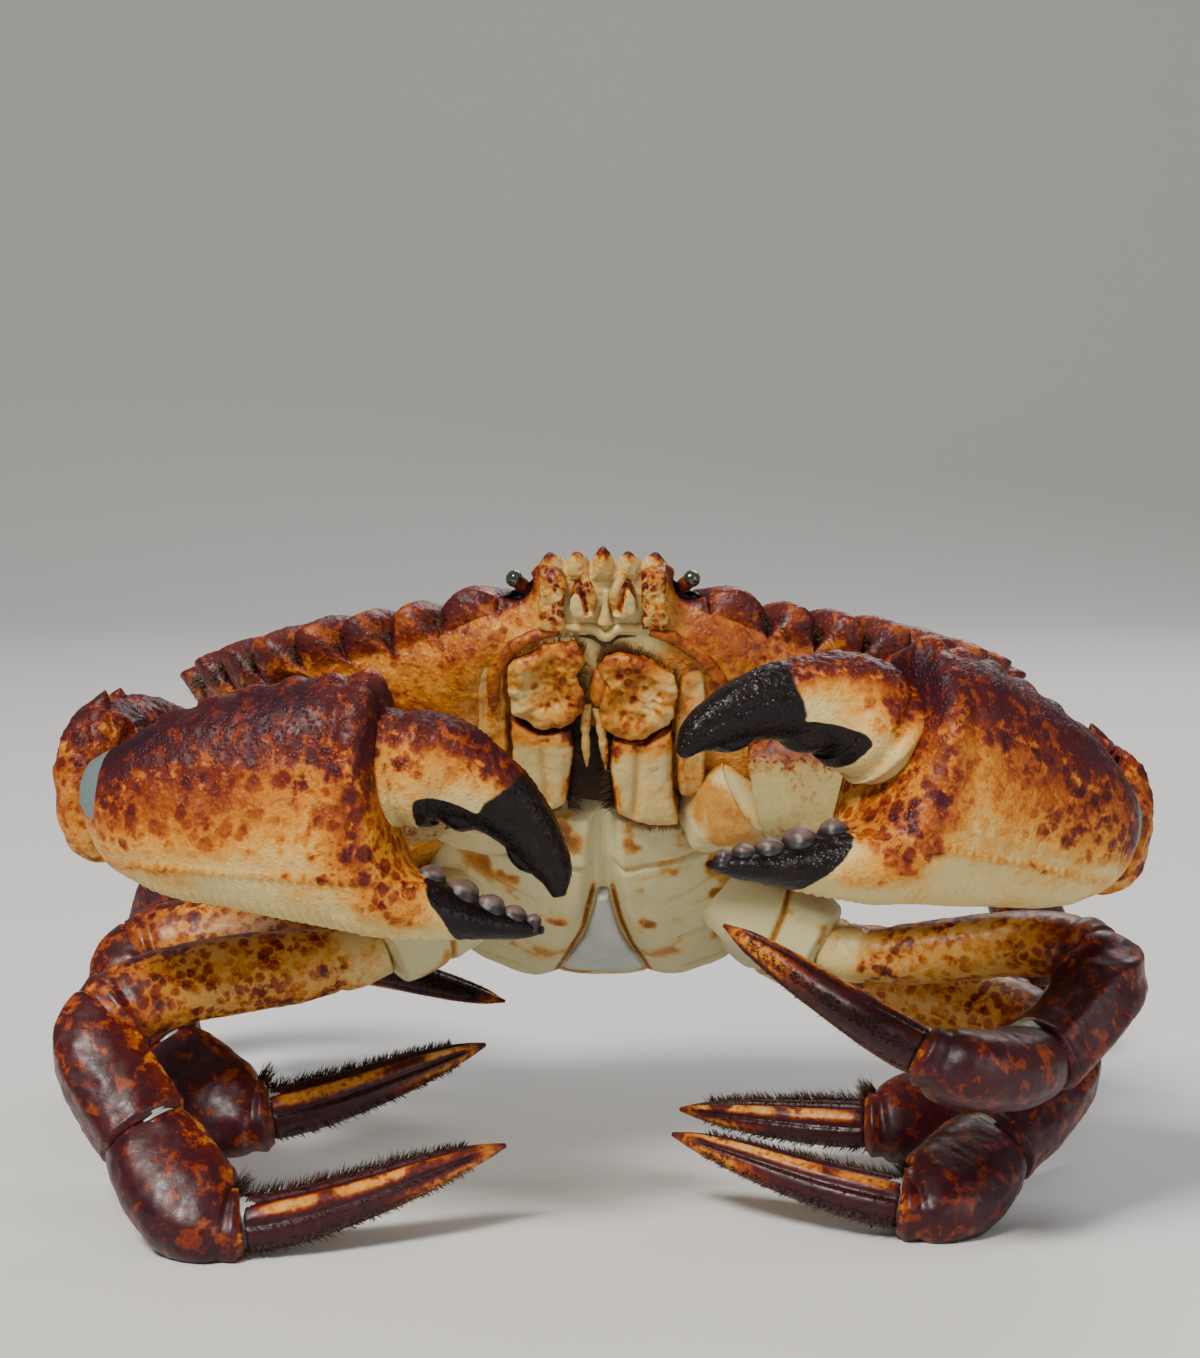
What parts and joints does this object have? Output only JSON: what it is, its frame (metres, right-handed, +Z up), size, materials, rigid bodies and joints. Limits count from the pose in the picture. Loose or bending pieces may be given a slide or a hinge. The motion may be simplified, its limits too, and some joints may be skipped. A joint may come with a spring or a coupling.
{
  "type": "rock crab",
  "caption": "Life-size still model of a male rock crab, reared on folded legs with its black-tipped claws held before its mouth.",
  "frame": {"origin": "middle of the bounding box at floor level", "axes": "+Z up from the floor, -Y the way the animal faces, +X towards the animal's left side"},
  "size_m": [0.1814, 0.1549, 0.1066],
  "materials": {
    "shell": "dark maroon on top and orange below, finely grained, satin",
    "belly": "cream with rust patches, smooth",
    "claw": "maroon above, mottled orange, cream below, finely grained",
    "finger_tip": "black, smooth and glossy",
    "leg": "maroon with orange flecks, glossy",
    "mouth": "orange and cream speckles, satin",
    "eye": "dark olive, polished"
  },
  "bodies": {
    "root": {"antenna_left": "mouth", "antenna_right": "mouth", "antennule_left": "belly", "antennule_right": "belly", "breast": "belly", "claw_left_arm": "belly", "claw_left_finger": "finger_tip", "claw_left_hand": "claw", "claw_left_wrist": "claw", "claw_right_arm": "belly", "claw_right_finger": "finger_tip", "claw_right_hand": "claw", "claw_right_wrist": "claw", "eye_left": "eye", "eye_right": "eye", "jaw_lower_left": "mouth", "jaw_lower_right": "mouth", "jaw_side_left": "mouth", "jaw_side_right": "mouth", "jaw_upper_left": "mouth", "jaw_upper_right": "mouth", "leg_left_1_carpus": "leg", "leg_left_1_dactyl": "leg", "leg_left_1_merus": "leg", "leg_left_1_propodus": "leg", "leg_left_2_carpus": "leg", "leg_left_2_dactyl": "leg", "leg_left_2_merus": "leg", "leg_left_2_propodus": "leg", "leg_left_3_carpus": "leg", "leg_left_3_dactyl": "leg", "leg_left_3_merus": "leg", "leg_left_3_propodus": "leg", "leg_left_4_carpus": "leg", "leg_left_4_dactyl": "leg", "leg_left_4_merus": "leg", "leg_left_4_propodus": "leg", "leg_right_1_carpus": "leg", "leg_right_1_dactyl": "leg", "leg_right_1_merus": "leg", "leg_right_1_propodus": "leg", "leg_right_2_carpus": "leg", "leg_right_2_dactyl": "leg", "leg_right_2_merus": "leg", "leg_right_2_propodus": "leg", "leg_right_3_carpus": "leg", "leg_right_3_dactyl": "leg", "leg_right_3_merus": "leg", "leg_right_3_propodus": "leg", "leg_right_4_carpus": "leg", "leg_right_4_dactyl": "leg", "leg_right_4_merus": "leg", "leg_right_4_propodus": "leg", "shell": "shell", "tail": "belly", "tail_tip": "belly"}
  },
  "joints": []
}
